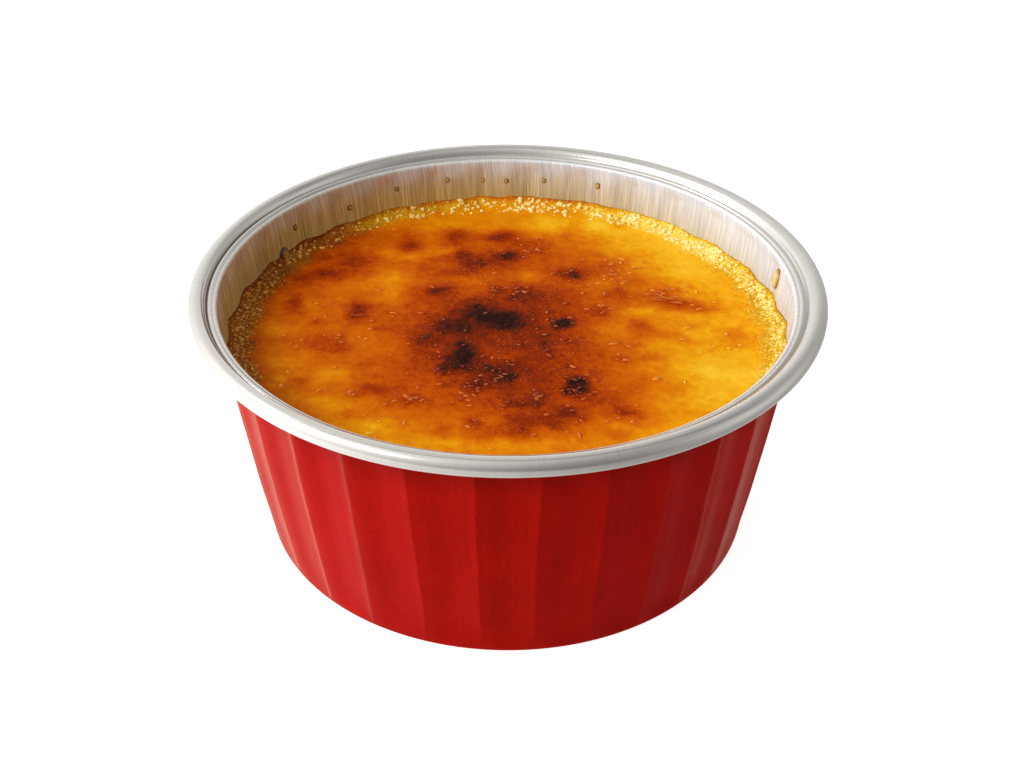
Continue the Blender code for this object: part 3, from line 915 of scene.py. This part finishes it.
# Drops of caramel on the wall: (degrees from the front, rightwards), height, half-width, half-length,
# how dark.
DROPS = (
    (101.0, 31.6, 1.05, 1.55, 0.10), (158.5, 32.1, 0.42, 0.55, 0.30), (171.5, 31.9, 0.35, 0.40, 0.32),
    (180.5, 31.7, 0.38, 0.42, 0.34), (186.0, 31.7, 0.30, 0.42, 0.24), (194.5, 32.3, 0.42, 0.45, 0.34),
    (207.0, 32.1, 0.36, 0.40, 0.40), (219.5, 31.2, 0.46, 0.46, 0.42), (235.5, 31.8, 0.46, 0.50, 0.46),
    (241.0, 29.0, 0.95, 1.30, 0.48),
)


def make_drops():
    rows = np.array(DROPS)
    turn = facing(rows[:, 0])
    radius = metal_radius(turn, rows[:, 1]) - 0.04
    x, y = radius * np.cos(turn), radius * np.sin(turn)
    slope = (WALL_TOP_R - BASE_R) / WALL_TOP_Z
    normal = np.stack([-np.cos(turn), -np.sin(turn), np.full_like(turn, slope)], axis=1)
    centres = np.stack([x, y, rows[:, 1]], axis=1)
    sizes = np.stack([rows[:, 2], rows[:, 3], 0.55 * rows[:, 2]], axis=1)
    drops = domes("caramel_drops", centres, sizes, turn + pi / 2, normal, 20, browning=rows[:, 4])
    drops.data.materials.append(drop_skin())
    return ride_root(drops, "custard")


def drop_skin():
    """Clear golden syrup, some drops darker than others; painted shade darkens the edge of each and a
    painted highlight lightens its middle.
    """
    look = Shader("caramel_drops", Specular_IOR_Level=0.6)
    fine = look.noise(look.place(), 900.0, 2.0)
    rough = look.spread(fine, 0.3, 0.7, 0.08, 0.16)
    # painted shade round the edge of each drop, painted highlight in its middle
    value = look.add(look.browned(fine, 0.12), look.spread(look.attribute("top"), 0.1, 0.9, 0.5, -0.12))
    colour = look.ramp(value, (0.0, 206, 188, 142), (0.15, 192, 158, 84), (0.3, 170, 126, 46),
                       (0.5, 126, 86, 28), (0.8, 78, 48, 20))
    return look.set(Base_Color=colour, Roughness=rough, Normal=look.bump(fine, 0.00003))


# -------------------------------- studio

# Broad glows, on the left, on the right, behind, overhead and low behind on the left: azimuth (0 in front,
# 90 on the right), elevation, sharpness, strength.
GLOWS = (
    (-85, 24, 2.2, 1.25), (88, 10, 6.0, 0.50), (-178, 3, 3.5, 0.55), (0, 88, 3.0, 0.12),
    (-122, -42, 4.5, 0.50),
)
MIDDLE = Vector((0, 0, 0.02))  # what the lamps and the camera face, in metres
ROOM = 0.12  # light from everywhere
TABLE = 0.34  # light from below, in the middle; it gains to the left and loses to the right
GAIN_LEFT = 0.55
LOSS_RIGHT = 0.85
# A dimmer strip from left to right overhead, a little behind the cup.
STRIP_TILT = 0.26
STRIP_SHARPNESS = 90.0
STRIP_DIMMING = 0.5


def direction(azimuth, elevation):
    """The way out from the cup. Azimuth 0 is to the front and 90 to the right, in degrees."""
    turn, rise = radians(azimuth), radians(elevation)
    return Vector((sin(turn) * cos(rise), -cos(turn) * cos(rise), sin(rise)))


def stand(obj, azimuth, elevation, distance):
    """Puts a lamp or the camera this far from the cup's middle, facing it. The distance is in metres."""
    bpy.context.scene.collection.objects.link(obj)
    obj.location = MIDDLE + direction(azimuth, elevation) * distance
    obj.rotation_mode = "QUATERNION"
    obj.rotation_quaternion = (MIDDLE - obj.location).to_track_quat("-Z", "Y")
    return obj


def softbox(name, azimuth, elevation, distance, width, height, power):
    """A white rectangular lamp that faces the cup."""
    lamp = bpy.data.lights.new(name, "AREA")
    lamp.shape = "RECTANGLE"
    lamp.size, lamp.size_y = width, height
    lamp.energy = power
    return stand(bpy.data.objects.new(name, lamp), azimuth, elevation, distance)


def make_floor():
    reach = 3000.0
    corners = [(-reach, -reach, 0), (reach, -reach, 0), (reach, reach, 0), (-reach, reach, 0)]
    floor = make_mesh("floor", corners, [(0, 1, 2, 3)])
    look = Shader("pale_floor", Roughness=0.9, Specular_IOR_Level=0.1, Emission_Strength=0.80,
                  Emission_Color=(1.0, 1.0, 1.0, 1.0))
    tone = look.ramp(look.noise(look.place(), 3.0), (0.3, 234, 234, 233), (0.7, 237, 237, 236))
    floor.data.materials.append(look.set(Base_Color=tone))
    floor.visible_glossy = False


def make_world():
    """Soft light from all around: the glows, a dim room between them, and a pale table below."""
    world = bpy.data.worlds.new("studio")
    bpy.context.scene.world = world
    world.use_nodes = True
    tree = world.node_tree

    def math(operation, *values):
        return math_node(tree, operation, *values)

    way = tree.nodes.new("ShaderNodeTexCoord").outputs["Generated"]
    total = ROOM
    for azimuth, elevation, sharpness, strength in GLOWS:
        toward = tree.nodes.new("ShaderNodeVectorMath")
        toward.operation = "DOT_PRODUCT"
        toward.inputs[1].default_value = direction(azimuth, elevation)
        tree.links.new(way, toward.inputs[0])
        fall = math("MULTIPLY_ADD", toward.outputs["Value"], sharpness, -sharpness)
        total = math("MULTIPLY_ADD", math("EXPONENT", fall), strength, total)
    split = tree.nodes.new("ShaderNodeSeparateXYZ")
    tree.links.new(way, split.inputs[0])
    tilt = math("MULTIPLY_ADD", split.outputs["Z"], -STRIP_TILT, split.outputs["Y"])
    line = math("EXPONENT", math("MULTIPLY", math("MULTIPLY", tilt, tilt), -STRIP_SHARPNESS))
    high = math("MULTIPLY", math("MAXIMUM", split.outputs["Z"], 0.0), line)
    total = math("MULTIPLY", total, math("MULTIPLY_ADD", high, -STRIP_DIMMING, 1.0))
    down = tree.nodes.new("ShaderNodeMapRange")
    tree.links.new(split.outputs["Z"], down.inputs[0])
    down.interpolation_type = "SMOOTHSTEP"
    for target, number in zip(down.inputs[1:5], (-0.05, -0.45, 0.0, TABLE)):
        target.default_value = number
    lean = math("MULTIPLY_ADD", math("MINIMUM", split.outputs["X"], 0.0), -GAIN_LEFT, 1.0)
    lean = math("MULTIPLY_ADD", math("MAXIMUM", split.outputs["X"], 0.0), -LOSS_RIGHT, lean)
    total = math("MULTIPLY_ADD", down.outputs[0], lean, total)
    background = tree.nodes["Background"]
    tree.links.new(total, background.inputs["Color"])
    background.inputs["Strength"].default_value = 1.0


def make_camera():
    """A 50 mm view from 200 mm in front, looking down at the cup."""
    data = bpy.data.cameras.new("camera")
    data.sensor_width = 36.0
    data.lens = 49.96
    data.shift_x, data.shift_y = 0.0045, -0.0086
    data.clip_start = 0.01
    camera = stand(bpy.data.objects.new("camera", data), 0, 33.6, 0.200)
    roll = Matrix.Rotation(radians(0.27), 3, "Z").to_quaternion()
    camera.rotation_quaternion = camera.rotation_quaternion @ roll
    bpy.context.scene.camera = camera


make_camera()
make_floor()
make_world()
softbox("key", -52, 41, 0.6, 0.14, 0.14, 0.62)
softbox("side", -75, 38, 0.7, 0.6, 0.5, 2.8).visible_glossy = False
softbox("low", -58, 6, 0.7, 0.2, 0.06, 2.1).visible_glossy = False
softbox("sparkle", -108, 44, 0.6, 0.08, 0.08, 0.35).visible_diffuse = False
bpy.context.scene.view_settings.view_transform = "Standard"

make_cup()
make_custard()
make_froth()
make_blisters()
make_drops()
